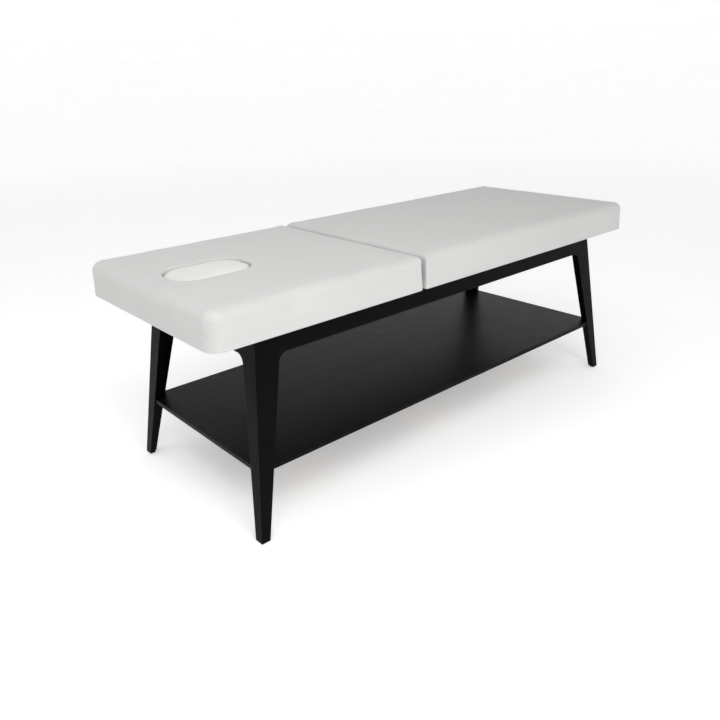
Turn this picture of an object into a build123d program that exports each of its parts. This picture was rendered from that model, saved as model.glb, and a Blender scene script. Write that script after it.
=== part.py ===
from build123d import *
import os
from math import cos, radians, sin

# A fixed-height massage table: a splayed black wooden frame with a shelf, a fixed foot section, and a
# head section that tilts up on hidden pivot plates and holds a lift-out oval face cushion.
# Origin: bottom centre of the whole table. +X runs to the foot end, +Y to the far side, +Z up. Millimetres.

os.makedirs("parts", exist_ok=True)

# ---- driving dimensions: whole table
table_length = 1850.0
table_width = 700.0
head_end_x = -table_length / 2
foot_end_x = table_length / 2
split_x = -212.0            # middle of the gap between the two sections
split_gap = 12.0
section_bottom = 579.0
head_thickness = 103.0
foot_thickness = 106.0

# ---- frame
frame_x = 15.0              # the frame's middle sits towards the foot end
frame_mid = Plane.YZ.offset(frame_x)
frame_top = 577.5
glide_height = 3.0
glide_radius = 8.0
glide_inset = 11.0
leg_foot_x = 855.0          # outer corner of a leg on the floor, from the frame's middle
leg_foot_y = 346.0
splay_x = 0.137             # how far the outer faces lean in, per mm of height
splay_y = 0.120
leg_width_x = 27.0          # leg section at the floor
leg_width_y = 30.0
taper_x = 0.098             # growth of the section per mm of height
taper_y = 0.060
leg_wall_low = 17.0         # a leg is an angle of two boards: their thickness at the floor
arch_low = 430.0            # from here up, a leg's boards are as thick as the rails
rail_bottom = 502.5
rail_depth = 24.0
arch_radius = 30.0
head_stub = 45.0            # how far a leg's head runs along each rail, past the leg itself
head_lap = 8.0              # how far a leg's head is set in from the leg's own outer corner
relief_depth = 32.0         # the dip in the head-end rail
relief_half = 150.0
relief_radius = 20.0
beam_bottom = 538.0
beam_width = 40.0
hinge_beam_x = split_x + 52.0
foot_beam_x = 420.0

# ---- shelf
shelf_top = 210.0
shelf_thickness = 14.0
shelf_half_x = 824.0
shelf_half_y = 319.0
shelf_seam = 1.0
notch_clearance = 1.4
dowel_radius = 4.0
dowel_length = 40.0
dowel_inset = 10.5
batten_width = 40.0
batten_height = 18.0
batten_half_y = 285.0
shelf_batten_places = (frame_x - 560.0, frame_x, frame_x + 560.0)
shelf_screw_places = (-240.0, -60.0, 60.0, 240.0)

# ---- upholstery
board_thickness = 15.0
cover_wall = 1.5
top_radius = 25.0
corner_radius = 27.0
head_corner_radius = 42.0
head_split_radius = 8.0
foot_split_radius = 10.0
lining_thickness = 1.0
lining_inset = 15.0

# ---- face opening and the cushion that closes it
face_x = -720.0
face_half_x = 124.0
face_half_y = 81.0
face_flat = 12.0            # half length of the straight middle of the oval's short ends
face_ledge = 12.0           # the board's hole is smaller, so the cushion rests on the board's edge
liner_wall = 1.5
plug_clearance = 0.8
plug_board_thickness = 9.0
plug_lift_gap = 0.5
plug_top_radius = 14.0
plug_sink = 1.0

# ---- tilting: pivot plates, prop stay and notched racks
pivot_z = 652.0
pin_radius = 3.0
pin_running_clearance = 0.06
plate_thickness = 4.0
plate_y = 118.0
eye_radius = 12.0
slot_width = 16.0
slot_depth = 40.0
screw_shank_radius = 2.0
screw_head_radius = 4.0
screw_head_height = 2.5
screw_bite = 12.0           # how far a screw goes into the board or beam it holds
tilt_max = 45.0
prop_ratio = 0.18           # the stay's turn on the head section, per degree of tilt
prop_pivot_x = split_x - 430.0
prop_pivot_z = 558.0
prop_length = 372.0
prop_start_angle = 1.6      # the stay's slope below level when the table is flat
prop_arm_y = 211.0
prop_arm_width = 8.0
prop_arm_height = 20.0
prop_bar_radius = 7.0
prop_bar_half = 246.0
back_batten_y = 190.0
back_batten_width = 25.0
back_batten_height = 14.0
rack_width = 18.0
rack_bottom = 512.0
rack_notches = 6
rack_clearance = 1.0
notch_depth = 6.0

through = 1000.0            # longer than any piece, for blanks that are cut to shape
margin = 10.0               # how far a cutting shape stands past the piece it cuts


def outer_x(z):
    """Half length of the frame at height z, over the legs' end faces."""
    return leg_foot_x - splay_x * z


def outer_y(z):
    """Half width of the frame at height z, over the legs' side faces."""
    return leg_foot_y - splay_y * z


def inner_x(z):
    return outer_x(z) - leg_width_x - taper_x * z


def inner_y(z):
    return outer_y(z) - leg_width_y - taper_y * z


def leg_wall(z):
    """Thickness of a leg's two boards at height z."""
    return leg_wall_low + (rail_depth - leg_wall_low) * min(z / arch_low, 1)


def save(builder, name):
    builder.part.label = name
    export_step(builder.part, f"parts/{name}.step")
    print(name, len(builder.part.solids()), round(builder.part.volume))


def lean_profile(outer, side, z0, z1, depth0, depth1):
    """Corners of a board that leans with the legs' outer faces, as (distance from the middle, height)."""
    return [
        (side * (outer(z0) - depth0), z0),
        (side * (outer(z1) - depth0), z1),
        (side * (outer(z1) - depth1), z1),
        (side * (outer(z0) - depth1), z0),
    ]


def side_board(side, z0, z1, depth0, depth1, x0, x1):
    """A board along X in the plane of a long side, from x0 to x1."""
    with BuildPart() as board:
        with BuildSketch(Plane.YZ.offset(x0)):
            with BuildLine():
                Polyline(*lean_profile(outer_y, side, z0, z1, depth0, depth1), close=True)
            make_face()
        extrude(amount=x1 - x0)
    return board


def end_board(side, z0, z1, depth0, depth1, y0, y1):
    """A board along Y in the plane of an end, from y0 to y1."""
    corners = lean_profile(outer_x, side, z0, z1, depth0, depth1)
    with BuildPart() as board:
        with BuildSketch(Plane.XZ.offset(-y0)):
            with BuildLine():
                Polyline(*[(frame_x + x, z) for x, z in corners], close=True)
            make_face()
        extrude(amount=y0 - y1)
    return board


def seat(x, y, z, way=(0, 0, 1)):
    """Where a screw's head sits, and the way the screw points."""
    return Plane(origin=(x, y, z), z_dir=way)


def screws(seats, length):
    """Pan-head screws, as one group of separate solids."""
    with BuildPart() as group:
        with Locations(*seats):
            Cylinder(screw_shank_radius, length, align=(Align.CENTER, Align.CENTER, Align.MIN))
            Cylinder(screw_head_radius, screw_head_height, align=(Align.CENTER, Align.CENTER, Align.MAX))
    return group


# ---- legs: a tapered, splayed angle of two boards, whose heads flare into both rails
def head_outline(outer, inner):
    """A leg head seen square on: a stub along the rail, with a round arch down to the leg."""
    stub_end = inner(rail_bottom) - head_stub
    return [
        (outer(arch_low) - head_lap, arch_low),
        (outer(frame_top) - head_lap, frame_top),
        (stub_end, frame_top),
        (stub_end, rail_bottom),
        (inner(rail_bottom), rail_bottom),
        (inner(arch_low), arch_low),
    ]


head_reach = (arch_low - 3 * margin, frame_top + 2 * margin)
stub_end_x = head_outline(outer_x, inner_x)[2][0]
stub_end_y = head_outline(outer_y, inner_y)[2][0]

with BuildPart() as head_along_x:
    with BuildSketch(Plane.XZ):
        with BuildLine():
            Polyline(*[(frame_x + x, z) for x, z in head_outline(outer_x, inner_x)], close=True)
        make_face()
        arch_corner = Vector(frame_x + inner_x(rail_bottom), rail_bottom)
        fillet(vertices().sort_by_distance(arch_corner)[0], arch_radius)
    extrude(amount=-through)
    with BuildSketch(Plane.YZ):
        with BuildLine():
            Polyline(*lean_profile(outer_y, 1, *head_reach, 0, rail_depth), close=True)
        make_face()
    extrude(amount=through, both=True, mode=Mode.INTERSECT)

with BuildPart() as head_along_y:
    with BuildSketch(Plane.YZ):
        with BuildLine():
            Polyline(*head_outline(outer_y, inner_y), close=True)
        make_face()
        arch_corner = Vector(inner_y(rail_bottom), rail_bottom)
        fillet(vertices().sort_by_distance(arch_corner)[0], arch_radius)
    extrude(amount=through)
    with BuildSketch(Plane.XZ):
        with BuildLine():
            slab = lean_profile(outer_x, 1, *head_reach, 0, rail_depth)
            Polyline(*[(frame_x + x, z) for x, z in slab], close=True)
        make_face()
    extrude(amount=through, both=True, mode=Mode.INTERSECT)

# Steel plates that bridge each joint between a leg's head and a rail, inside the frame, and their screws.
joint_plate = 3.0
joint_plate_half = 30.0
joint_screw_offset = 18.0
joint_screw_edge = 12.0
joint_screw_length = 19.0
plate_depths = (rail_depth, rail_depth + joint_plate)
plate_heights = (522.0, 562.0)
joint_screw_grid = [
    (shift, z)
    for shift in (-joint_screw_offset, joint_screw_offset)
    for z in (plate_heights[0] + joint_screw_edge, plate_heights[1] - joint_screw_edge)
]
joint_seats = []
with BuildPart() as joint_plates:
    for side in (-1, 1):
        for middle in (frame_x - stub_end_x, frame_x + stub_end_x):
            ends = (middle - joint_plate_half, middle + joint_plate_half)
            add(side_board(side, *plate_heights, *plate_depths, *ends).part)
            joint_seats += [
                seat(middle + shift, side * (outer_y(z) - plate_depths[1]), z, (0, side, splay_y))
                for shift, z in joint_screw_grid
            ]
        for middle in (-stub_end_y, stub_end_y):
            ends = (middle - joint_plate_half, middle + joint_plate_half)
            add(end_board(side, *plate_heights, *plate_depths, *ends).part)
            joint_seats += [
                seat(frame_x + side * (outer_x(z) - plate_depths[1]), middle + shift, z, (side, 0, splay_x))
                for shift, z in joint_screw_grid
            ]
joint_screws = screws(joint_seats, joint_screw_length)
with BuildPart() as joint_plates_drilled:
    add(joint_plates.part)
    add(joint_screws.part, mode=Mode.SUBTRACT)

# Dowels that tie each leg to the shelf: one along X and one along Y at every corner.
dowel_z = shelf_top - shelf_thickness / 2
notch_x = inner_x(shelf_top) - notch_clearance
notch_y = inner_y(shelf_top) - notch_clearance
with BuildPart() as shelf_dowels:
    for side_x in (-1, 1):
        for side_y in (-1, 1):
            with BuildSketch(Plane.YZ.offset(frame_x + side_x * (notch_x - dowel_length / 2))):
                with Locations((side_y * (outer_y(dowel_z) - dowel_inset), dowel_z)):
                    Circle(dowel_radius)
            extrude(amount=side_x * dowel_length)
            with BuildSketch(Plane.XZ.offset(-side_y * (notch_y - dowel_length / 2))):
                with Locations((frame_x + side_x * (outer_x(dowel_z) - dowel_inset), dowel_z)):
                    Circle(dowel_radius)
            extrude(amount=-side_y * dowel_length)

# The space inside the legs' boards, from floor to rails, as one tapered block.
with BuildPart() as leg_hollow:
    for heights in ((0, arch_low), (arch_low, frame_top + 1)):
        with BuildPart(mode=Mode.PRIVATE) as stage:
            for z in heights:
                with BuildSketch(Plane.XY.offset(z)):
                    with Locations((frame_x, 0)):
                        Rectangle(2 * (outer_x(z) - leg_wall(z)), 2 * (outer_y(z) - leg_wall(z)))
            loft(ruled=True)
        add(stage.part)

with BuildPart() as leg_foot_far:
    for z in (glide_height, frame_top):
        with BuildSketch(Plane.XY.offset(z)):
            middle_x = frame_x + (outer_x(z) + inner_x(z)) / 2
            with Locations((middle_x, (outer_y(z) + inner_y(z)) / 2)):
                Rectangle(outer_x(z) - inner_x(z), outer_y(z) - inner_y(z))
    loft(ruled=True)
    add(leg_hollow.part, mode=Mode.SUBTRACT)
    add(head_along_x.part)
    add(head_along_y.part)
    add(shelf_dowels.part, mode=Mode.SUBTRACT)
    add(joint_screws.part, mode=Mode.SUBTRACT)
with BuildPart() as leg_foot_near:
    mirror(leg_foot_far.part, about=Plane.XZ)
with BuildPart() as leg_head_far:
    mirror(leg_foot_far.part, about=frame_mid)
with BuildPart() as leg_head_near:
    mirror(leg_foot_near.part, about=frame_mid)

# Round nylon glides under the four legs.
with BuildPart() as floor_glides:
    for side_x in (-1, 1):
        for side_y in (-1, 1):
            foot_x = frame_x + side_x * (leg_foot_x - glide_inset)
            with Locations((foot_x, side_y * (leg_foot_y - glide_inset), 0)):
                Cylinder(glide_radius, glide_height, align=(Align.CENTER, Align.CENTER, Align.MIN))
    chamfer(edges().filter_by(GeomType.CIRCLE).group_by(Axis.Z)[0], 1)

# ---- rails between the leg heads, and two beams between the long rails
side_rail_ends = (frame_x - stub_end_x, frame_x + stub_end_x)
side_rail_blanks = {
    name: side_board(side, rail_bottom, frame_top, 0, rail_depth, *side_rail_ends)
    for name, side in (("side_rail_near", -1), ("side_rail_far", 1))
}
end_rail_blanks = {
    name: end_board(side, rail_bottom, frame_top, 0, rail_depth, -stub_end_y, stub_end_y)
    for name, side in (("end_rail_head", -1), ("end_rail_foot", 1))
}

# The head-end rail dips in the middle, to leave air under the face opening.
with BuildPart() as end_rail_head:
    add(end_rail_blanks["end_rail_head"].part)
    with BuildSketch(Plane.YZ.offset(frame_x - leg_foot_x)):
        with Locations((0, frame_top)):
            Rectangle(2 * relief_half, 2 * relief_depth)
        fillet(vertices().group_by(Axis.Y)[0], relief_radius)
    extrude(amount=200, mode=Mode.SUBTRACT)
    add(joint_screws.part, mode=Mode.SUBTRACT)
with BuildPart() as end_rail_foot:
    add(end_rail_blanks["end_rail_foot"].part)
    add(joint_screws.part, mode=Mode.SUBTRACT)


def cross_beam(middle_x, width):
    """A beam across the frame, its ends leaning with the long rails' inner faces."""
    with BuildPart() as beam:
        with BuildSketch(Plane.YZ.offset(middle_x - width / 2)):
            with BuildLine():
                low, high = outer_y(beam_bottom) - rail_depth, outer_y(frame_top) - rail_depth
                Polyline((-low, beam_bottom), (low, beam_bottom), (high, frame_top), (-high, frame_top),
                         close=True)
            make_face()
        extrude(amount=width)
    return beam


# ---- shelf: two boards side by side, notched round the legs, on three battens
# A small tab at each corner fills the angle of the leg.
tab_x = outer_x(shelf_top) - leg_wall(shelf_top) - notch_clearance
tab_y = outer_y(shelf_top) - leg_wall(shelf_top) - notch_clearance
tab_root = 5.0


def shelf_board(side):
    with BuildPart() as board:
        with BuildSketch(Plane.XY.offset(shelf_top - shelf_thickness)):
            depth = shelf_half_y - shelf_seam / 2
            with Locations((frame_x, side * (shelf_seam / 2 + depth / 2))):
                Rectangle(2 * shelf_half_x, depth)
            for end in (-1, 1):
                with Locations((frame_x + end * shelf_half_x, side * shelf_half_y)):
                    notch = (2 * (shelf_half_x - notch_x), 2 * (shelf_half_y - notch_y))
                    Rectangle(*notch, mode=Mode.SUBTRACT)
                with Locations((frame_x + end * (notch_x - tab_root), side * (notch_y - tab_root))):
                    Rectangle(2 * (tab_x - notch_x + tab_root), 2 * (tab_y - notch_y + tab_root))
        extrude(amount=shelf_thickness)
        long_edges = edges().filter_by(Axis.X).group_by(Axis.Z)[-1]
        chamfer(long_edges.sort_by(Axis.Y)[-1 if side > 0 else 0], 1.0)
        add(shelf_dowels.part, mode=Mode.SUBTRACT)
        add(shelf_screws.part, mode=Mode.SUBTRACT)
    return board


batten_low = shelf_top - shelf_thickness - batten_height
shelf_screw_bite = 9.0
shelf_screw_seats = [seat(x, y, batten_low) for x in shelf_batten_places for y in shelf_screw_places]
shelf_screws = screws(shelf_screw_seats, batten_height + shelf_screw_bite)
shelf_boards = {
    name: shelf_board(side)
    for name, side in (("shelf_board_near", -1), ("shelf_board_far", 1))
}
with BuildPart() as shelf_battens:
    for x in shelf_batten_places:
        with Locations((x, 0, batten_low)):
            Box(batten_width, 2 * batten_half_y, batten_height,
                align=(Align.CENTER, Align.CENTER, Align.MIN))
    chamfer(edges().filter_by(Axis.Y).group_by(Axis.Z)[0], 2)
    add(shelf_screws.part, mode=Mode.SUBTRACT)

# ---- upholstery
head_split_face = split_x - split_gap / 2
foot_split_face = split_x + split_gap / 2
head_top = section_bottom + head_thickness
foot_top = section_bottom + foot_thickness


def section_sketch(x0, x1, inset, radius0, radius1):
    """Outline of a table section from x0 to x1, with its own corner radius at each end."""
    with BuildSketch() as outline:
        with Locations(((x0 + x1) / 2, 0)):
            Rectangle(x1 - x0 - 2 * inset, table_width - 2 * inset)
        fillet(vertices().group_by(Axis.X)[0], max(radius0 - inset, 1))
        far_corners = vertices().filter_by_position(Axis.X, x1 - inset - 1, x1 - inset + 1)
        fillet(far_corners, max(radius1 - inset, 1))
    return outline


def section_block(ends, z0, z1, inset, top_fillet=0.0):
    """A slab of a table section, with a rounded top edge where top_fillet is given."""
    with BuildPart() as block:
        with BuildSketch(Plane.XY.offset(z0)):
            add(section_sketch(*ends[:2], inset, *ends[2:]).sketch)
        extrude(amount=z1 - z0)
        if top_fillet:
            fillet(faces().sort_by(Axis.Z)[-1].edges(), top_fillet)
    return block


def oval_core(half_x, half_y, z0, z1):
    with BuildPart() as core:
        with BuildSketch(Plane.XY.offset(z0)):
            with Locations((face_x, 0)):
                RectangleRounded(2 * half_x, 2 * half_y, half_y - face_flat)
        extrude(amount=z1 - z0)
    return core


# Slots in the ends of both sections, for the pivot plates.
slot_start = plate_y - (slot_width - 2 * plate_thickness) / 2
slot_top = pivot_z + eye_radius + 3
with BuildPart() as hinge_slots:
    for side in (-1, 1):
        with Locations((split_x, side * (slot_start + slot_width / 2), section_bottom - margin)):
            Box(split_gap + 2 * slot_depth, slot_width, slot_top - section_bottom + margin,
                align=(Align.CENTER, Align.CENTER, Align.MIN))

head_ends = (head_end_x, head_split_face, head_corner_radius, head_split_radius)
foot_ends = (foot_split_face, foot_end_x, foot_split_radius, corner_radius)
board_top = section_bottom + board_thickness


def upholster(ends, top):
    """Board, foam and cover of a section, before its holes are cut."""
    board = section_block(ends, section_bottom, board_top, cover_wall)
    foam = section_block(ends, board_top, top - cover_wall, cover_wall, top_radius - cover_wall)
    outer = section_block(ends, section_bottom, top, 0, top_radius)
    with BuildPart() as cover:
        add(outer.part)
        add(board.part, mode=Mode.SUBTRACT)
        add(foam.part, mode=Mode.SUBTRACT)
    return board, foam, cover


# Screws that hold the foot section's board down on the two beams.
foot_screw_places = (-200.0, -70.0, 70.0, 200.0)
foot_screw_seats = [seat(x, y, beam_bottom) for x in (hinge_beam_x, foot_beam_x) for y in foot_screw_places]
foot_section_screws = screws(foot_screw_seats, frame_top - beam_bottom + screw_bite)
with BuildPart() as foot_beam:
    add(cross_beam(foot_beam_x, beam_width).part)
    add(foot_section_screws.part, mode=Mode.SUBTRACT)

foot_board_blank, foot_foam_blank, foot_cover_blank = upholster(foot_ends, foot_top)
with BuildPart() as foot_lining:
    add(section_block(foot_ends, frame_top, section_bottom, lining_inset).part)
    add(hinge_slots.part, mode=Mode.SUBTRACT)
    add(foot_section_screws.part, mode=Mode.SUBTRACT)
foot_pieces = {}
for name, blank in (("foot_board", foot_board_blank), ("foot_foam", foot_foam_blank),
                    ("foot_cover", foot_cover_blank)):
    with BuildPart() as foot_pieces[name]:
        add(blank.part)
        add(hinge_slots.part, mode=Mode.SUBTRACT)
        if name == "foot_board":
            add(foot_section_screws.part, mode=Mode.SUBTRACT)

# ---- head section
face_hole = oval_core(face_half_x, face_half_y, board_top, head_top + margin)
ledge_half = (face_half_x - face_ledge, face_half_y - face_ledge)
ledge_hole = oval_core(*ledge_half, section_bottom - margin, board_top + 1)
lining_low = section_bottom - lining_thickness / 2
flange_low = lining_low - plate_thickness
flange_x = (head_split_face - 80.0, head_split_face - 10.0)
flange_width = 40.0
back_batten_x = (face_x + 13.0, split_x - 50.0)
batten_bottom = lining_low - back_batten_height
flange_screw_y = plate_y + 30.0
flange_screw_places = (flange_x[0] + 12.0, flange_x[0] + 36.0)
batten_screw_end = 30.0
batten_screw_places = (
    back_batten_x[0] + batten_screw_end, sum(back_batten_x) / 2, back_batten_x[1] - batten_screw_end,
)
head_seats = [
    seat(x, side * flange_screw_y, flange_low) for side in (-1, 1) for x in flange_screw_places
]
batten_seats = [
    seat(x, side * back_batten_y, batten_bottom) for side in (-1, 1) for x in batten_screw_places
]
flange_screws = screws(head_seats, plate_thickness + screw_bite)
back_batten_screws = screws(batten_seats, back_batten_height + screw_bite)

head_board_blank, head_foam_blank, head_cover_blank = upholster(head_ends, head_top)
with BuildPart() as head_board:
    add(head_board_blank.part)
    for cut in (ledge_hole, hinge_slots, flange_screws, back_batten_screws):
        add(cut.part, mode=Mode.SUBTRACT)
with BuildPart() as head_foam:
    add(head_foam_blank.part)
    for cut in (face_hole, hinge_slots):
        add(cut.part, mode=Mode.SUBTRACT)
with BuildPart() as head_cover:
    add(head_cover_blank.part)
    for cut in (face_hole, hinge_slots):
        add(cut.part, mode=Mode.SUBTRACT)
with BuildPart() as head_lining:
    add(section_block(head_ends, lining_low, section_bottom, lining_inset).part)
    for cut in (ledge_hole, hinge_slots, flange_screws, back_batten_screws):
        add(cut.part, mode=Mode.SUBTRACT)
with BuildPart() as opening_liner:
    add(oval_core(face_half_x, face_half_y, board_top, head_top - cover_wall).part)
    inner_wall = oval_core(face_half_x - liner_wall, face_half_y - liner_wall, board_top, head_top)
    add(inner_wall.part, mode=Mode.SUBTRACT)

# ---- the face cushion: an oval plug that lifts out of the opening
plug_low = board_top + plug_lift_gap
plug_top = head_top - plug_sink
plug_half_x = face_half_x - liner_wall - plug_clearance
plug_half_y = face_half_y - liner_wall - plug_clearance
plug_core = (plug_half_x - cover_wall, plug_half_y - cover_wall)
face_cushion_board = oval_core(*plug_core, plug_low, plug_low + plug_board_thickness)
with BuildPart() as face_cushion_foam:
    add(oval_core(*plug_core, plug_low + plug_board_thickness, plug_top - cover_wall).part)
    fillet(faces().sort_by(Axis.Z)[-1].edges(), plug_top_radius - cover_wall)
with BuildPart() as face_cushion_cover:
    add(oval_core(plug_half_x, plug_half_y, plug_low, plug_top).part)
    fillet(faces().sort_by(Axis.Z)[-1].edges(), plug_top_radius)
    add(face_cushion_board.part, mode=Mode.SUBTRACT)
    add(face_cushion_foam.part, mode=Mode.SUBTRACT)

# ---- pivot plates: one pair at each side of the middle, standing in the slots between the sections
beam_face = hinge_beam_x - beam_width / 2


def plate_sheet(side, y_low, outline):
    """A steel plate in a vertical plane along X, with the pivot's eye and the arm's outline."""
    with BuildPart() as plate:
        with BuildSketch(Plane.XZ.offset(-side * y_low)):
            with Locations((split_x, pivot_z)):
                Circle(eye_radius)
            with BuildLine():
                Polyline(*outline, close=True)
            make_face()
        extrude(amount=-side * plate_thickness)
    return plate


def pin_core(side, radius, y_low, y_high):
    with BuildPart() as core:
        with BuildSketch(Plane.XZ.offset(-side * y_low)):
            with Locations((split_x, pivot_z)):
                Circle(radius)
        extrude(amount=-side * (y_high - y_low))
    return core


fixed_arm = [
    (split_x - 8, pivot_z - 9), (split_x + 10, pivot_z + 6), (beam_face - 2, pivot_z - 50),
    (beam_face, beam_bottom + 4), (beam_face - 16, beam_bottom + 4), (beam_face - 18, pivot_z - 50),
]
moving_arm = [
    (split_x + 8, pivot_z - 9), (split_x - 10, pivot_z + 6), (flange_x[1] - 18, pivot_z - 50),
    (flange_x[1] - 18, flange_low), (flange_x[1], flange_low), (flange_x[1], pivot_z - 50),
]
fixed_flange_high = frame_top - 5
moving_y = plate_y + plate_thickness + 0.3
beam_screw_seats = [
    seat(beam_face - plate_thickness, side * (plate_y + 26), z, (1, 0, 0))
    for side in (-1, 1) for z in (beam_bottom + 12, fixed_flange_high - 8)
]
beam_screws = screws(beam_screw_seats, 24)
with BuildPart() as pivot_plates_fixed:
    for side in (-1, 1):
        add(plate_sheet(side, plate_y, fixed_arm).part)
        with Locations((beam_face, side * plate_y, beam_bottom + 4)):
            Box(plate_thickness, flange_width, fixed_flange_high - beam_bottom - 4,
                align=(Align.MAX, Align.MIN if side > 0 else Align.MAX, Align.MIN))
        add(pin_core(side, pin_radius, plate_y - 1, moving_y).part, mode=Mode.SUBTRACT)
    add(beam_screws.part, mode=Mode.SUBTRACT)
with BuildPart() as pivot_plates_moving:
    for side in (-1, 1):
        add(plate_sheet(side, moving_y, moving_arm).part)
        with Locations((flange_x[0], side * moving_y, flange_low)):
            Box(flange_x[1] - flange_x[0], flange_width, plate_thickness,
                align=(Align.MIN, Align.MIN if side > 0 else Align.MAX, Align.MIN))
        hole_ends = (moving_y - 1, moving_y + plate_thickness + 1)
        hole = pin_core(side, pin_radius + pin_running_clearance, *hole_ends)
        add(hole.part, mode=Mode.SUBTRACT)
    add(flange_screws.part, mode=Mode.SUBTRACT)
pin_end = moving_y + plate_thickness + 0.3
with BuildPart() as pivot_pins:
    for side in (-1, 1):
        add(pin_core(side, pin_radius, plate_y, pin_end).part)
        add(pin_core(side, pin_radius + 2, plate_y - 1.5, plate_y).part)
        add(pin_core(side, pin_radius + 2, pin_end, pin_end + 1.5).part)
with BuildPart() as hinge_beam:
    add(cross_beam(hinge_beam_x, beam_width).part)
    add(foot_section_screws.part, mode=Mode.SUBTRACT)
    add(beam_screws.part, mode=Mode.SUBTRACT)


# ---- prop stay under the head section, and the notched racks that hold it
def rotated(x, z, angle):
    """A point of the head section after it tilts by angle degrees."""
    c, s = cos(radians(angle)), sin(radians(angle))
    dx, dz = x - split_x, z - pivot_z
    return split_x + dx * c + dz * s, pivot_z - dx * s + dz * c


def bar_centre(tilt):
    """Where the stay's foot bar is at a tilt."""
    x, z = rotated(prop_pivot_x, prop_pivot_z, tilt)
    slope = radians(prop_start_angle + tilt * (1 + prop_ratio))
    return x + prop_length * cos(slope), z - prop_length * sin(slope)


bar_x, bar_z = bar_centre(0)
arm_way = (bar_x - prop_pivot_x, 0, bar_z - prop_pivot_z)
arm_slope = Plane(origin=(prop_pivot_x, 0, prop_pivot_z), x_dir=arm_way, z_dir=(0, -1, 0))


def prop_arm(side):
    with BuildPart() as arm:
        with BuildSketch(arm_slope.offset(-side * (prop_arm_y - prop_arm_width / 2))):
            with Locations((prop_length / 2, 0)):
                SlotCenterToCenter(prop_length, prop_arm_height)
            Circle(pin_radius + pin_running_clearance, mode=Mode.SUBTRACT)
            with Locations((prop_length, 0)):
                Circle(prop_bar_radius, mode=Mode.SUBTRACT)
        extrude(amount=-side * prop_arm_width)
    return arm


prop_arms = {name: prop_arm(side) for name, side in (("prop_arm_near", -1), ("prop_arm_far", 1))}
with BuildPart() as prop_foot_bar:
    with BuildSketch(Plane.XZ.offset(-prop_bar_half)):
        with Locations((bar_x, bar_z)):
            Circle(prop_bar_radius)
    extrude(amount=2 * prop_bar_half)
    chamfer(edges().filter_by(GeomType.CIRCLE), 1)

bracket_y = back_batten_y + back_batten_width / 2
bracket_half = 18.0
bracket_tip_half = 8.0
bracket_screw_x = 12.0
bracket_screw_drop = 6.0
bracket_screw_length = 20.0
bracket_seats = [
    seat(prop_pivot_x + x, side * (bracket_y + plate_thickness), lining_low - bracket_screw_drop, (0, -side, 0))
    for side in (-1, 1) for x in (-bracket_screw_x, bracket_screw_x)
]
bracket_screws = screws(bracket_seats, bracket_screw_length)
with BuildPart() as prop_brackets:
    for side in (-1, 1):
        with BuildSketch(Plane.XZ.offset(-side * bracket_y)):
            with BuildLine():
                eye_low = prop_pivot_z - 10
                Polyline(
                    (prop_pivot_x - bracket_half, lining_low), (prop_pivot_x + bracket_half, lining_low),
                    (prop_pivot_x + bracket_tip_half, eye_low), (prop_pivot_x - bracket_tip_half, eye_low),
                    close=True)
            make_face()
            with Locations((prop_pivot_x, prop_pivot_z)):
                Circle(pin_radius, mode=Mode.SUBTRACT)
        extrude(amount=-side * plate_thickness)
    add(bracket_screws.part, mode=Mode.SUBTRACT)
prop_pin_stations = (
    (pin_radius + 2, bracket_y - 1.5, bracket_y),
    (pin_radius, bracket_y, prop_arm_y + prop_arm_width / 2 + 0.3),
    (pin_radius + 2, prop_arm_y + prop_arm_width / 2 + 0.3, prop_arm_y + prop_arm_width / 2 + 1.8),
)
with BuildPart() as prop_pins:
    for side in (-1, 1):
        for radius, y_low, y_high in prop_pin_stations:
            with BuildSketch(Plane.XZ.offset(-side * y_low)):
                with Locations((prop_pivot_x, prop_pivot_z)):
                    Circle(radius)
            extrude(amount=-side * (y_high - y_low))
with BuildPart() as head_battens:
    for side in (-1, 1):
        with Locations((sum(back_batten_x) / 2, side * back_batten_y, batten_bottom)):
            Box(back_batten_x[1] - back_batten_x[0], back_batten_width, back_batten_height,
                align=(Align.CENTER, Align.CENTER, Align.MIN))
    add(back_batten_screws.part, mode=Mode.SUBTRACT)
    add(bracket_screws.part, mode=Mode.SUBTRACT)


def rack_outline():
    """Teeth just under the foot bar's path, each with a wall towards the foot end."""
    stops = [bar_centre(tilt_max * i / rack_notches) for i in range(rack_notches, -1, -1)]
    tips = [(x, z - prop_bar_radius - rack_clearance) for x, z in stops]
    points = [(tips[0][0] - 12, rack_bottom), (tips[0][0] - 12, tips[0][1]), tips[0]]
    for x, z in tips[1:]:
        points += [(x - 1, z - notch_depth), (x, z)]
    return points + [(tips[-1][0] + 14, tips[-1][1]), (tips[-1][0] + 14, rack_bottom)]


rack_middle = (bar_centre(0)[0] + bar_centre(tilt_max)[0]) / 2
rack_seat_z = rack_bottom + 10
rack_depth = rail_depth + rack_width
rack_half = 90.0
rack_screw_x = 35.0
rack_screw_sink = 3.0
rack_screw_bite = 10.0
rack_seat_y = outer_y(rack_seat_z) - rack_depth + rack_screw_sink
rack_seats = [
    seat(rack_middle + x, side * rack_seat_y, rack_seat_z, (0, side, splay_y))
    for side in (-1, 1) for x in (-rack_screw_x, rack_screw_x)
]
rack_screws = screws(rack_seats, rack_width + rack_screw_bite)


def rack(side):
    ends = (rack_middle - rack_half, rack_middle + rack_half)
    slab = side_board(side, rack_bottom, frame_top, rail_depth, rack_depth, *ends)
    with BuildPart() as notched:
        with BuildSketch(Plane.XZ):
            with BuildLine():
                Polyline(*rack_outline(), close=True)
            make_face()
        extrude(amount=through, both=True)
        add(slab.part, mode=Mode.INTERSECT)
        add(rack_screws.part, mode=Mode.SUBTRACT)
    return notched


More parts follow.
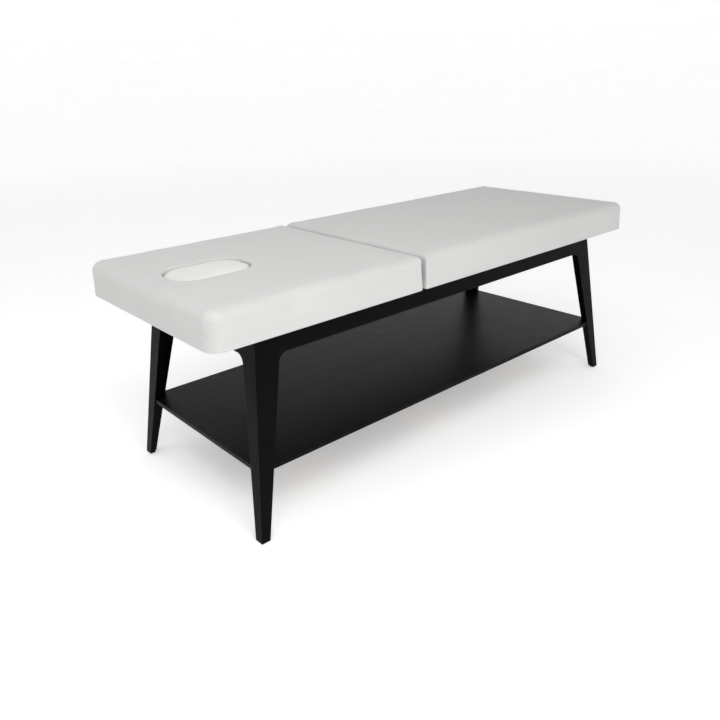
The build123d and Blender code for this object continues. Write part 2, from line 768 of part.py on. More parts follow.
racks = {name: rack(side) for name, side in (("rack_near", -1), ("rack_far", 1))}
side_rails = {}
for name, blank in side_rail_blanks.items():
    with BuildPart() as side_rails[name]:
        add(blank.part)
        for cut in (joint_screws, rack_screws):
            add(cut.part, mode=Mode.SUBTRACT)

# ---- every piece, under its own name
pieces = {
    "leg_head_near": leg_head_near, "leg_head_far": leg_head_far,
    "leg_foot_near": leg_foot_near, "leg_foot_far": leg_foot_far,
    "floor_glides": floor_glides, **side_rails,
    "end_rail_head": end_rail_head, "end_rail_foot": end_rail_foot,
    "hinge_beam": hinge_beam, "foot_beam": foot_beam,
    "joint_plates": joint_plates_drilled, "joint_screws": joint_screws,
    **shelf_boards, "shelf_battens": shelf_battens,
    "shelf_dowels": shelf_dowels, "shelf_screws": shelf_screws,
    **foot_pieces, "foot_lining": foot_lining, "foot_section_screws": foot_section_screws,
    "pivot_plates_fixed": pivot_plates_fixed, "pivot_pins": pivot_pins, "beam_screws": beam_screws,
    **racks, "rack_screws": rack_screws,
    "head_board": head_board, "head_foam": head_foam, "head_cover": head_cover,
    "head_lining": head_lining, "opening_liner": opening_liner,
    "head_battens": head_battens, "head_batten_screws": back_batten_screws,
    "pivot_plates_moving": pivot_plates_moving, "flange_screws": flange_screws,
    "prop_brackets": prop_brackets, "bracket_screws": bracket_screws, "prop_pins": prop_pins,
    **prop_arms, "prop_foot_bar": prop_foot_bar,
    "face_cushion_board": face_cushion_board, "face_cushion_foam": face_cushion_foam,
    "face_cushion_cover": face_cushion_cover,
}
for name, builder in pieces.items():
    save(builder, name)
for tilt in range(0, int(tilt_max) + 1, 15):
    print("foot bar at tilt", tilt, [round(v, 1) for v in bar_centre(tilt)])
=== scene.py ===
import math

import bmesh
import bpy
import numpy as np
from mathutils import Matrix, Vector, noise


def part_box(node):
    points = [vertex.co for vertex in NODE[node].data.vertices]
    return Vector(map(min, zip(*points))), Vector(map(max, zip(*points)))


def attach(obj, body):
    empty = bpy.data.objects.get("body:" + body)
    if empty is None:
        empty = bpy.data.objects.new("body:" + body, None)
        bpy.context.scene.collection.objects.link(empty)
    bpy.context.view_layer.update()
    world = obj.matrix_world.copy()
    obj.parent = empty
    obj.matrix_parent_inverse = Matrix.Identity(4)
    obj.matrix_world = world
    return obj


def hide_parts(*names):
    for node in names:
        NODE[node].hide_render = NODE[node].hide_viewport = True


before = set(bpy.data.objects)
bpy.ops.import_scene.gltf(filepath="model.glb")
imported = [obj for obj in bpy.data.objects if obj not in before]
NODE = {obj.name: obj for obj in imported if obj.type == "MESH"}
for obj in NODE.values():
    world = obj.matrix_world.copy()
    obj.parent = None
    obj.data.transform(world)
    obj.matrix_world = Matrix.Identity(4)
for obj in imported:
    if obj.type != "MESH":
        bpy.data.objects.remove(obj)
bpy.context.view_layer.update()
scene = bpy.context.scene

# ------------------------------------------------------------------------------------------ sizes
MM = 0.001
head_low, head_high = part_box("head_cover")
foot_low, foot_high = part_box("foot_cover")
board_low, board_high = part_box("head_board")
liner_low, liner_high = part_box("opening_liner")
plug_low, plug_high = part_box("face_cushion_cover")
plug_board_low, plug_board_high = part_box("face_cushion_board")

HALF_WIDTH = head_high.y
SECTION_BOTTOM = board_low.z
BOARD_TOP = board_high.z
PIVOT_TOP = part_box("pivot_plates_fixed")[1].z
OPENING_X = (liner_low.x + liner_high.x) / 2
OPENING_A = (liner_high.x - liner_low.x) / 2
OPENING_B = (liner_high.y - liner_low.y) / 2
OPENING_FLAT = 12 * MM           # half length of the straight middle of the opening's short ends
HEAD_CORNER, HEAD_SPLIT_CORNER = 42 * MM, 5 * MM
FOOT_SPLIT_CORNER, FOOT_CORNER = 6 * MM, 24 * MM
SMALLEST_CORNER = 4 * MM
CELL = 9 * MM                    # size of a face of the cushions before they are subdivided
EDGE_ROLL = 27 * MM              # radius of a section's top edge
HEAD_SPLIT_ROLL, FOOT_SPLIT_ROLL = 9 * MM, 18 * MM
RIM_ROLL = 6 * MM                # radius of the edge of the face opening
RECESS_TOP = BOARD_TOP + 0.3 * MM  # ceiling of the recess that holds a section's board
TOP_SINK = 3.5 * MM              # how far below the CAD's top a cushion starts, before it is blown out
SLOT_Y, SLOT_WIDTH, SLOT_REACH = 122 * MM, 16 * MM, 46 * MM
SLOT_CLEARANCE = 4 * MM


# ------------------------------------------------------------------------------------------ meshes
def make_object(name, verts, faces):
    """A mesh object with coincident points joined and its faces turned outwards."""
    mesh = bpy.data.meshes.new(name)
    mesh.from_pydata([tuple(v) for v in verts], [], faces)
    bm = bmesh.new()
    bm.from_mesh(mesh)
    bmesh.ops.remove_doubles(bm, verts=bm.verts, dist=1e-5)
    bmesh.ops.recalc_face_normals(bm, faces=bm.faces)
    bm.to_mesh(mesh)
    bm.free()
    obj = bpy.data.objects.new(name, mesh)
    scene.collection.objects.link(obj)
    return obj


def get_points(obj):
    """An object's points as rows of x, y, z."""
    co = np.zeros(len(obj.data.vertices) * 3)
    obj.data.vertices.foreach_get("co", co)
    return co.reshape(-1, 3)


def set_points(obj, co):
    """Moves an object's points to the rows of co."""
    obj.data.vertices.foreach_set("co", co.astype(np.float32).ravel())
    obj.data.update()


def apply_modifiers(obj):
    """Bakes an object's modifiers into its mesh."""
    graph = bpy.context.evaluated_depsgraph_get()
    mesh = bpy.data.meshes.new_from_object(obj.evaluated_get(graph))
    obj.modifiers.clear()
    obj.data = mesh


def subdivide(obj, levels=1):
    """Smooth subdivision, baked into the mesh."""
    mod = obj.modifiers.new("subdivision", "SUBSURF")
    mod.levels = mod.render_levels = levels
    apply_modifiers(obj)
    obj.data.shade_smooth()


def inflate(obj, free, pressure, cap, frames=18):
    """Blows the free points out as cloth under pressure, and lets none move further than cap."""
    start = get_points(obj)
    group = obj.vertex_groups.new(name="held")
    group.add([int(i) for i in np.flatnonzero(~free)], 1.0, "REPLACE")
    cloth = obj.modifiers.new("cloth", "CLOTH")
    settings = cloth.settings
    settings.quality = 4
    settings.mass = 0.3
    settings.tension_stiffness = settings.compression_stiffness = 12
    settings.shear_stiffness = 4
    settings.bending_stiffness = 1.5
    settings.use_pressure = True
    settings.uniform_pressure_force = pressure
    settings.effector_weights.gravity = 0
    settings.vertex_group_mass = "held"
    cloth.point_cache.frame_start, cloth.point_cache.frame_end = 1, frames
    for f in range(1, frames + 1):
        scene.frame_set(f)
    graph = bpy.context.evaluated_depsgraph_get()
    end = get_points(obj.evaluated_get(graph))
    obj.modifiers.remove(cloth)
    obj.vertex_groups.remove(group)
    scene.frame_set(1)
    move = end - start
    length = np.linalg.norm(move, axis=1, keepdims=True)
    set_points(obj, start + move * cap / (cap + length))


def roughen(obj, free, amount, scale):
    """Small soft unevenness of foam under leather."""
    co = get_points(obj)
    for i in np.flatnonzero(free):
        x, y, z = co[i]
        co[i, 2] += amount * noise.noise(Vector((x, y, z * 0.5)) * scale)
        co[i, 1] += 0.6 * amount * noise.noise(Vector((x + 7.1, y, z)) * scale)
        co[i, 0] += 0.6 * amount * noise.noise(Vector((x, y + 3.7, z)) * scale)
    set_points(obj, co)


def quads(rows, closed=True):
    """Faces between rows of equal length, each row a list of point numbers."""
    faces = []
    for a, b in zip(rows, rows[1:]):
        count = len(a)
        for k in range(count if closed else count - 1):
            n = (k + 1) % count
            faces.append((a[k], a[n], b[n], b[k]))
    return faces


class Shape:
    """Collects a mesh's points and faces."""

    def __init__(self):
        self.points, self.faces = [], []

    def row(self, xy, z):
        """Adds points at xy, at one height or a height each, and returns their numbers."""
        first = len(self.points)
        heights = np.broadcast_to(z, len(xy))
        self.points += [(x, y, h) for (x, y), h in zip(xy, heights)]
        return list(range(first, len(self.points)))

    def rings(self, rows):
        """Joins rows that close on themselves."""
        self.faces += quads(rows)

    def patch(self, rows):
        """Joins open rows into a sheet."""
        self.faces += quads(rows, closed=False)

    def fan(self, row, centre):
        """Closes a ring with triangles to a point in its middle."""
        self.points.append(centre)
        last = len(self.points) - 1
        self.faces += [(row[k], row[(k + 1) % len(row)], last) for k in range(len(row))]


def plan(uv, ends, inset):
    """Where unit-square points lie in a section's outline.

    ends is (x0, x1, corner radius at x0, corner radius at x1), and inset is how far in the points lie
    from the x0 end, the x1 end and the long sides.
    """
    x0, x1, r0, r1 = ends
    x0, x1 = x0 + inset[0], x1 - inset[1]
    uv = np.asarray(uv, float)
    half = np.array([(x1 - x0) / 2, HALF_WIDTH - inset[2]])
    p = uv * half
    r = np.maximum(np.where(uv[:, 0] < 0, r0, r1) - inset[2], SMALLEST_CORNER)[:, None]
    q = np.clip((np.abs(p) - (half - r)) / r, 0, 1)
    qx, qy = q.T
    bent = np.stack([qx * np.sqrt(1 - qy ** 2 / 2), qy * np.sqrt(1 - qx ** 2 / 2)], 1)
    corner = (q > 0).all(1)
    p[corner] = (np.sign(p) * (half - r + r * bent))[corner]
    return p + [(x0 + x1) / 2, 0]


def oval_at(directions, a, b):
    """Points on the outline with half lengths a and b, in the given directions from its middle."""
    way = directions / np.linalg.norm(directions, axis=1, keepdims=True)
    radius = b - OPENING_FLAT
    near, far = np.zeros(len(way)), np.full(len(way), a + b)
    for _ in range(40):
        middle = (near + far) / 2
        q = np.abs(way * middle[:, None]) - [a - radius, b - radius]
        outside = np.hypot(*np.clip(q, 0, None).T) + np.minimum(q.max(1), 0) > radius
        near, far = np.where(outside, near, middle), np.where(outside, middle, far)
    return way * near[:, None] + [OPENING_X, 0]


def oval(xy, grow):
    """The opening's outline, grown by so much, in the directions of xy."""
    squeeze = [1, OPENING_A / OPENING_B]
    stretched = (xy - [OPENING_X, 0]) * squeeze
    return oval_at(stretched / squeeze, OPENING_A + grow, OPENING_B + grow)


def side_profile(bottom, top, roll):
    """(inset, height) up the outside of a section, from the board's recess to the top face."""
    turned_under = [
        (1.2, RECESS_TOP), (1.2, bottom + 0.1 * MM), (14.5, bottom), (14.5, bottom - 0.8 * MM),
        (2.0, bottom - 0.8 * MM), (0.9, bottom - 0.3 * MM), (0.35, bottom + 0.8 * MM),
    ]
    side = [(inset * MM, z) for inset, z in turned_under]
    low, high = bottom + 6 * MM, top - roll
    side += [((0.5 + 2.0 * t) * MM, low + (high - low) * t) for t in np.linspace(0, 1, 8)]
    for angle in np.linspace(0, math.pi / 2, 9)[1:]:
        side.append((2.5 * MM + roll * (1 - math.cos(angle)), high + roll * math.sin(angle)))
    return side


def blend_heights(xy, ends, heights):
    """Each point's height, from those at the x0 end, the x1 end and the long sides."""
    reach = 38 * MM
    from_ends = (xy[:, 0] - ends[0], ends[1] - xy[:, 0])
    weights = [np.clip(1 - distance / reach, 0, 1) for distance in from_ends]
    first, second = (w * w * (3 - 2 * w) for w in weights)
    return first * heights[0] + second * heights[1] + (1 - first - second) * heights[2]


def raise_crown(obj, ends, top, opening):
    """Lifts a section's top a little towards the middle, and less round the face opening."""
    co = get_points(obj)
    lift = np.clip((co[:, 2] - BOARD_TOP) / (top - BOARD_TOP), 0, 1) ** 3
    x0, x1 = ends[:2]
    across = 1 - (co[:, 1] / HALF_WIDTH) ** 2
    along = 1 - ((co[:, 0] - (x0 + x1) / 2) / ((x1 - x0) / 2)) ** 4
    crown = 2.2 * MM * across * along
    if opening:
        away = np.hypot((co[:, 0] - OPENING_X) / OPENING_A, co[:, 1] / OPENING_B) - 1
        crown -= 1.6 * MM * np.exp(-np.clip(away, 0, None) / 0.16)
    co[:, 2] += lift * crown
    set_points(obj, co)


def section(name, ends, top, rolls, opening=False):
    """A section's cushion: leather over foam over a board, which sits in a recess underneath."""
    nx, ny = (round(length / CELL) for length in (ends[1] - ends[0], 2 * HALF_WIDTH))
    shape = Shape()
    profiles = [side_profile(SECTION_BOTTOM, top, roll) for roll in (*rolls, EDGE_ROLL)]
    profile = [tuple(zip(*steps)) for steps in zip(*profiles)]
    us, vs = np.linspace(-1, 1, nx + 1), np.linspace(-1, 1, ny + 1)
    split = 0
    if opening:
        wanted = 2 * OPENING_X - ends[0] + 6 * MM
        split = int(np.argmin(np.abs(us - (2 * (wanted - ends[0]) / (ends[1] - ends[0]) - 1))))

    def face(inset, z, rim):
        rows = [shape.row(plan([(us[i], v) for v in vs], ends, inset), z) for i in range(split, nx + 1)]
        shape.patch(rows)
        if not opening:
            return None
        loop = ([(us[i], -1) for i in range(split)] + [(us[split], v) for v in vs[:-1]]
                + [(us[i], 1) for i in range(split, 0, -1)] + [(-1, v) for v in vs[:0:-1]])
        outer = plan(loop, ends, inset)
        inner = oval(outer, rim)
        steps = 22
        rings = [shape.row(inner + (outer - inner) * (k / steps) ** 1.2, z) for k in range(steps + 1)]
        shape.rings(rings)
        return outer

    outer = face(profile[-1][0], top, RIM_ROLL)
    ceiling = face(profile[0][0], RECESS_TOP, 0)
    border = ([(u, -1) for u in us[:-1]] + [(1, v) for v in vs[:-1]]
              + [(u, 1) for u in us[:0:-1]] + [(-1, v) for v in vs[:0:-1]])
    rows = []
    for inset, heights in profile:
        xy = plan(border, ends, inset)
        rows.append(shape.row(xy, blend_heights(xy, ends, heights)))
    shape.rings(rows)
    if opening:
        rim = [(RIM_ROLL * (1 - math.sin(a)), top - RIM_ROLL * (1 - math.cos(a)))
               for a in np.linspace(0, math.pi / 2, 6)]
        rows = [shape.row(oval(outer, grow), z) for grow, z in rim]
        wall = np.linspace(top - RIM_ROLL, RECESS_TOP, 9)[1:-1]
        rows += [shape.row(oval(outer, 0), z) for z in wall]
        shape.rings([*rows, shape.row(oval(ceiling, 0), RECESS_TOP)])
    obj = make_object(name, shape.points, shape.faces)

    raise_crown(obj, ends, top, opening)
    co = get_points(obj)
    free = co[:, 2] > BOARD_TOP + 6 * MM
    if opening:
        held = (OPENING_A + 3 * MM, OPENING_B + 3 * MM)
        free &= np.hypot((co[:, 0] - OPENING_X) / held[0], co[:, 1] / held[1]) > 1
    inflate(obj, free, pressure=3.0, cap=3.2 * MM)
    roughen(obj, free, 0.7 * MM, 9.0)
    subdivide(obj)
    return obj


def cut_slots(obj):
    """Room for the pivot plates, in the end that faces the other section."""
    low, high = SECTION_BOTTOM - 20 * MM, PIVOT_TOP + SLOT_CLEARANCE
    split_x = (head_high.x + foot_low.x) / 2
    for side in (-1, 1):
        cutter = bpy.data.objects.new("cutter", bpy.data.meshes.new("cutter"))
        scene.collection.objects.link(cutter)
        bm = bmesh.new()
        bmesh.ops.create_cube(bm, size=1)
        bmesh.ops.scale(bm, vec=(2 * SLOT_REACH, SLOT_WIDTH, high - low), verts=bm.verts)
        bmesh.ops.translate(bm, vec=(split_x, side * SLOT_Y, (high + low) / 2), verts=bm.verts)
        bm.to_mesh(cutter.data)
        bm.free()
        mod = obj.modifiers.new("slot", "BOOLEAN")
        mod.operation, mod.solver, mod.object = "DIFFERENCE", "EXACT", cutter
        apply_modifiers(obj)
        bpy.data.objects.remove(cutter)
    obj.data.shade_smooth()


head_ends = (head_low.x, head_high.x, HEAD_CORNER, HEAD_SPLIT_CORNER)
foot_ends = (foot_low.x, foot_high.x, FOOT_SPLIT_CORNER, FOOT_CORNER)
head = section("head_cushion", head_ends, head_high.z - TOP_SINK, (EDGE_ROLL, HEAD_SPLIT_ROLL), opening=True)
foot = section("foot_cushion", foot_ends, foot_high.z - TOP_SINK, (FOOT_SPLIT_ROLL, EDGE_ROLL))
cut_slots(head)
cut_slots(foot)


def oval_row(a, b, count=144):
    """Points round the opening's outline, evenly turned."""
    t = np.arange(count) / count * 2 * math.pi
    return oval_at(np.stack([a * np.cos(t), b * np.sin(t)], 1), a, b)


def hold_inside(obj, a, b):
    """Pulls points back to the outline with half lengths a and b, and returns how far out each one was."""
    middle = np.array([OPENING_X, 0])
    co = get_points(obj)
    offset = co[:, :2] - middle
    reach = np.linalg.norm(oval_at(offset + 1e-9, a, b) - middle, axis=1)
    share = np.linalg.norm(offset, axis=1) / reach
    outside = share > 1
    co[outside, :2] = middle + offset[outside] / share[outside, None]
    set_points(obj, co)
    return share


def face_pad():
    """The oval cushion: leather pulled over domed foam and down round its board."""
    a, b = (plug_high.x - plug_low.x) / 2, (plug_high.y - plug_low.y) / 2
    board_a = (plug_board_high.x - plug_board_low.x) / 2
    board_b = (plug_board_high.y - plug_board_low.y) / 2
    top, low = plug_high.z - TOP_SINK, plug_board_low.z
    lap = min(a - board_a, b - board_b) - 0.2 * MM
    roll, dome = 12 * MM, 5 * MM
    shape = Shape()
    steps = [
        (lap, plug_board_high.z + 0.2 * MM), (lap, low + 0.1 * MM), (lap - 0.1 * MM, low + 0.05 * MM),
        (0.4 * MM, low + 0.05 * MM), (0.2 * MM, low + 1 * MM),
    ]
    wall_low, wall_high = low + 3 * MM, top - roll
    steps += [((0.3 + 1.1 * t) * MM, wall_low + (wall_high - wall_low) * t) for t in np.linspace(0, 1, 9)]
    for k in range(1, 8):
        angle = k / 7 * math.pi / 2
        steps.append((1.4 * MM + roll * (1 - math.cos(angle)), top - roll + roll * math.sin(angle)))
    rows = [shape.row(oval_row(a - inset, b - inset), z) for inset, z in steps]
    last = steps[-1][0]
    middle = np.array([OPENING_X, 0])
    edge = oval_row(a - last, b - last) - middle
    for k in range(1, 16):
        s = 1 - k / 16
        rows.append(shape.row(middle + edge * s, top + dome * (1 - s * s)))
    shape.rings(rows)
    shape.fan(rows[-1], (OPENING_X, 0, top + dome))
    edge = oval_row(a - lap, b - lap) - middle
    ceiling = [rows[0]] + [shape.row(middle + edge * s, steps[0][1]) for s in (0.8, 0.6, 0.4, 0.2)]
    shape.rings(ceiling)
    shape.fan(ceiling[-1], (OPENING_X, 0, steps[0][1]))
    obj = make_object("face_pad", shape.points, shape.faces)
    free = get_points(obj)[:, 2] > low + 30 * MM
    inflate(obj, free, pressure=4.0, cap=2.6 * MM)
    share = hold_inside(obj, a, b)
    roughen(obj, free & (share < 0.93), 0.5 * MM, 16.0)
    subdivide(obj)
    return obj


def opening_skin():
    """The leather that lines the wall of the face opening, with a small rolled edge at the top."""
    wall = 1.3 * MM
    top, low = head_high.z - 3.2 * MM, RECESS_TOP
    shape = Shape()
    path = [(-wall, low), (-wall, top - 9 * MM), (-wall, top - 5 * MM), (-wall + 0.3 * MM, top - 2.6 * MM)]
    bead = 1.7 * MM
    for angle in np.linspace(math.radians(200), math.radians(-60), 9):
        path.append((1.2 * MM + bead * math.cos(angle), top - 1.6 * MM + bead * math.sin(angle)))
    path += [(0.8 * MM, top - 4.6 * MM), (-0.2 * MM, top - 9 * MM), (-0.2 * MM, low)]
    rows = [shape.row(oval_row(OPENING_A + grow, OPENING_B + grow, 168), z) for grow, z in path]
    shape.rings(rows + [rows[0]])
    obj = make_object("opening_skin", shape.points, shape.faces)
    subdivide(obj)
    return obj


pad = face_pad()
skin = opening_skin()

for piece, body, slot, nodes in (
        (head, "head_section", "cover_leather", ("head_foam", "head_cover")),
        (foot, "frame", "cover_leather", ("foot_foam", "foot_cover")),
        (pad, "face_cushion", "face_leather", ("face_cushion_foam", "face_cushion_cover")),
        (skin, "head_section", "cover_leather", ("opening_liner",))):
    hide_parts(*nodes)
    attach(piece, body)


# ------------------------------------------------------------------------------------------ materials
class Net:
    """A material's nodes, which add() makes and links."""

    def __init__(self, name):
        self.material = bpy.data.materials.new(name)
        self.material.use_nodes = True
        self.tree = self.material.node_tree
        self.shader = self.tree.nodes["Principled BSDF"]
        coords = self.tree.nodes.new("ShaderNodeTexCoord")
        self.place = coords.outputs["Object"]

    def add(self, kind, inputs, out=0, **props):
        """Makes a node and returns an output; an input that is a socket is linked, any other is set."""
        node = self.tree.nodes.new(kind)
        for key, value in props.items():
            setattr(node, key, value)
        for key, value in inputs.items():
            self.feed(node.inputs[key], value)
        return node.outputs[out]

    def feed(self, socket, value):
        if isinstance(value, bpy.types.NodeSocket):
            self.tree.links.new(value, socket)
        else:
            socket.default_value = value

    def scaled(self, x, y, z):
        return self.add("ShaderNodeMapping", {"Vector": self.place, "Scale": (x, y, z)})

    def noise(self, vector, scale, detail=4.0, rough=0.5):
        inputs = {"Vector": vector, "Scale": scale, "Detail": detail, "Roughness": rough}
        return self.add("ShaderNodeTexNoise", inputs)

    def ramp(self, value, low, high, a=0.3, b=0.7):
        """A colour from low at value a to high at value b."""
        node = self.tree.nodes.new("ShaderNodeValToRGB")
        for stop, place, colour in zip(node.color_ramp.elements, (a, b), (low, high)):
            stop.position, stop.color = place, (*colour, 1)
        self.tree.links.new(value, node.inputs[0])
        return node.outputs[0]

    def remap(self, value, low, high, a=0.0, b=1.0):
        """A number from low at value a to high at value b."""
        inputs = {"Value": value, "From Min": a, "From Max": b, "To Min": low, "To Max": high}
        return self.add("ShaderNodeMapRange", inputs)

    def math(self, operation, a, b):
        return self.add("ShaderNodeMath", {0: a, 1: b}, operation=operation)

    def bump(self, height, distance, strength=1.0, normal=None):
        inputs = {"Height": height, "Distance": distance, "Strength": strength}
        if normal is not None:
            inputs["Normal"] = normal
        return self.add("ShaderNodeBump", inputs)

    def finish(self, **values):
        """Feeds the shader and returns the material."""
        names = {"colour": "Base Color", "rough": "Roughness", "normal": "Normal", "metal": "Metallic",
                 "spec": "Specular IOR Level", "sheen": "Sheen Weight", "coat": "Coat Weight",
                 "coat_rough": "Coat Roughness"}
        for key, value in values.items():
            self.feed(self.shader.inputs[names[key]], value)
        return self.material


def shade(colour, factor):
    return tuple(min(1.0, c * factor) for c in colour)


def leather(name, colour):
    """Off-white imitation leather: pebbled grain with fine pores, soft creases, faint handling marks, and
    painted shade where the grain dips.
    """
    net = Net(name)
    cells = net.add("ShaderNodeTexVoronoi", {"Vector": net.place, "Scale": 620.0, "Randomness": 1.0},
                    feature="DISTANCE_TO_EDGE")
    pebble = net.remap(cells, 0.0, 1.0, 0.0, 0.28)
    pores = net.noise(net.place, 2600.0, 2.0)
    creases = net.noise(net.scaled(26, 44, 60), 1.0, 6.0, 0.62)
    height = net.math("ADD", net.math("MULTIPLY", pebble, 0.7), net.math("MULTIPLY", pores, 0.3))
    grain = net.bump(height, 0.10 * MM, 0.75)
    normal = net.bump(creases, 0.55 * MM, 0.5, grain)
    marks = net.noise(net.scaled(5, 7, 9), 1.0, 5.0, 0.6)
    tone = net.ramp(marks, shade(colour, 0.955), colour, 0.32, 0.62)
    # Painted shade: the colour is darker down in the grain's cell edges, where the pebbles shade them.
    painted_valley_shade = net.ramp(pebble, shade(colour, 0.86), (1, 1, 1), 0.0, 0.35)
    mixed = net.add("ShaderNodeMix", {0: 0.35, 6: tone, 7: painted_valley_shade}, out=2, data_type="RGBA",
                    blend_type="MULTIPLY")
    rough = net.remap(net.math("ADD", marks, net.math("MULTIPLY", pebble, -0.12)), 0.44, 0.62, 0.25, 0.7)
    return net.finish(colour=mixed, rough=rough, normal=normal, spec=0.38)


def lacquer(name, colour, along, rough, spec, worn_and_lit, relief=1.0):
    """Satin lacquer on wood: the grain's open lines show through, and the eased edges are a little rubbed
    and painted lighter as a highlight.
    """
    net = Net(name)
    scale = [1.0, 1.0, 1.0]
    scale["xyz".index(along)] = 0.045
    lines = net.noise(net.scaled(*(s * 420 for s in scale)), 1.0, 5.0, 0.62)
    figure = net.noise(net.scaled(*(s * 60 for s in scale)), 1.0, 3.0, 0.55)
    eased = net.add("ShaderNodeBevel", {"Radius": 1.6 * MM}, samples=6)
    flat = net.add("ShaderNodeNewGeometry", {}, out="Normal")
    bend = net.add("ShaderNodeVectorMath", {0: eased, 1: flat}, out="Value", operation="DOT_PRODUCT")
    edge = net.remap(bend, 1.0, 0.0, 0.72, 0.99)
    patches = net.noise(net.place, 55.0, 5.0, 0.6)
    # The eased edges take a lighter colour: partly rubbed lacquer, partly a painted highlight along the
    # rounding.
    wear_and_highlight = net.math("MULTIPLY", edge, net.remap(patches, 0.0, 1.0, 0.45, 0.75))
    waves = net.bump(figure, 0.2 * MM, 0.35 * relief, eased)
    normal = net.bump(lines, 0.12 * MM, 0.55 * relief, waves)
    tone = net.ramp(figure, shade(colour, 0.75), shade(colour, 1.3), 0.3, 0.7)
    mixed = net.add("ShaderNodeMix", {0: wear_and_highlight, 6: tone, 7: (*worn_and_lit, 1)}, out=2, data_type="RGBA")
    uneven = net.math("ADD", lines, net.math("MULTIPLY", patches, 0.5))
    gloss = net.remap(uneven, rough - 0.05, rough + 0.1, 0.5, 1.0)
    return net.finish(colour=mixed, rough=gloss, normal=normal, spec=spec)


def raw_wood(name, light, dark, along, plies=False):
    """Bare wood with grain and pores, and the edges' layers where it is plywood."""
    net = Net(name)
    scale = [1.0, 1.0, 1.0]
    scale["xyz".index(along)] = 0.05
    grain = net.noise(net.scaled(*(s * 160 for s in scale)), 1.0, 6.0, 0.6)
    pores = net.noise(net.scaled(*(s * 900 for s in scale)), 1.0, 2.0, 0.5)
    if plies:
        inputs = {"Vector": net.scaled(0, 0, 1), "Scale": 210.0, "Distortion": 0.4}
        bands = net.add("ShaderNodeTexWave", inputs, out="Fac", bands_direction="Z")
        grain = net.math("ADD", net.math("MULTIPLY", grain, 0.75), net.math("MULTIPLY", bands, 0.25))
    tone = net.ramp(grain, dark, light, 0.32, 0.68)
    normal = net.bump(pores, 0.1 * MM, 0.6, net.bump(grain, 0.15 * MM, 0.5))
    return net.finish(colour=tone, rough=net.remap(pores, 0.55, 0.75), normal=normal, spec=0.3)


def moulded(name, colour, low, high):
    """Moulded plastic with a fine dull skin."""
    net = Net(name)
    fine = net.noise(net.place, 1500.0, 3.0)
    wide = net.noise(net.place, 40.0, 3.0)
    tone = net.ramp(wide, shade(colour, 0.8), shade(colour, 1.25))
    return net.finish(colour=tone, rough=net.remap(fine, low, high), normal=net.bump(fine, 0.05 * MM, 0.5),
                      spec=0.4)


def steel(name, colour, metal, low, high):
    """Plated or coated sheet steel: fine speckle, faint scratches, duller patches."""
    net = Net(name)
    speckle = net.add("ShaderNodeTexVoronoi", {"Vector": net.place, "Scale": 260.0}, out="Color")
    scratches = net.noise(net.scaled(60, 60, 1800), 1.0, 4.0, 0.6)
    patches = net.noise(net.place, 28.0, 4.0)
    tone = net.ramp(patches, shade(colour, 0.82), shade(colour, 1.06))
    grey = net.remap(speckle, 0.0, 0.06)
    rough = net.math("ADD", net.remap(scratches, low, high, 0.3, 0.7), grey)
    return net.finish(colour=tone, rough=rough, normal=net.bump(scratches, 0.04 * MM, 0.35), metal=metal)


def felt(name, colour):
    """Black non-woven lining: point-bonded fibres."""
    net = Net(name)
    dots = net.add("ShaderNodeTexVoronoi", {"Vector": net.place, "Scale": 700.0, "Randomness": 0.15})
    fibres = net.noise(net.scaled(900, 2600, 900), 1.0, 4.0, 0.7)
    height = net.math("ADD", net.remap(dots, 0.0, 1.0, 0.05, 0.4), net.math("MULTIPLY", fibres, 0.6))
    tone = net.ramp(height, shade(colour, 0.6), shade(colour, 1.7), 0.3, 1.0)
    return net.finish(colour=tone, rough=0.92, normal=net.bump(height, 0.2 * MM, 0.8), spec=0.15, sheen=0.15)


cover = leather("cover_leather", (0.563, 0.563, 0.556))
face_cover = leather("face_leather", (0.675, 0.68, 0.65))
# The second colour is the lighter edge colour: rubbed lacquer with a painted highlight.
BLACK, WORN_AND_LIT = (0.0021, 0.0021, 0.0023), (0.012, 0.0115, 0.011)
black = {axis: lacquer("frame_lacquer_" + axis, BLACK, axis, 0.36, 0.046, WORN_AND_LIT) for axis in "xyz"}
shelf = lacquer("shelf_lacquer", (0.0024, 0.0024, 0.0026), "x", 0.34, 0.058, WORN_AND_LIT, 0.45)
birch = raw_wood("birch_plywood", (0.62, 0.47, 0.30), (0.46, 0.32, 0.18), "x", plies=True)
beech = {axis: raw_wood("beech_" + axis, (0.60, 0.42, 0.26), (0.44, 0.28, 0.15), axis) for axis in "xy"}
nylon = moulded("glide_nylon", (0.018, 0.018, 0.018), 0.42, 0.6)
zinc = steel("zinc_steel", (0.60, 0.61, 0.63), 1.0, 0.28, 0.42)
coated = steel("black_steel", (0.016, 0.016, 0.017), 0.0, 0.38, 0.52)
lining = felt("lining_cloth", (0.012, 0.012, 0.012))

FINISH = {
    "leg_head_near": black["z"], "leg_head_far": black["z"],
    "leg_foot_near": black["z"], "leg_foot_far": black["z"],
    "side_rail_near": black["x"], "side_rail_far": black["x"],
    "end_rail_head": black["y"], "end_rail_foot": black["y"],
    "hinge_beam": black["y"], "foot_beam": black["y"],
    "shelf_board_near": shelf, "shelf_board_far": shelf,
    "shelf_battens": beech["y"], "shelf_dowels": beech["y"], "head_battens": beech["x"],
    "rack_near": beech["x"], "rack_far": beech["x"],
    "foot_board": birch, "head_board": birch, "face_cushion_board": birch,
    "floor_glides": nylon, "foot_lining": lining, "head_lining": lining,
}
STEEL_BLACK = (
    "pivot_plates_fixed", "pivot_plates_moving", "prop_brackets",
    "prop_arm_near", "prop_arm_far", "prop_foot_bar",
)
for name, obj in NODE.items():
    if obj.hide_render:
        continue
    finish = FINISH.get(name, coated if name in STEEL_BLACK else zinc)
    for index in range(len(obj.material_slots)):
        obj.material_slots[index].material = finish
for piece, finish in ((head, cover), (foot, cover), (skin, cover), (pad, face_cover)):
    piece.data.materials.clear()
    piece.data.materials.append(finish)

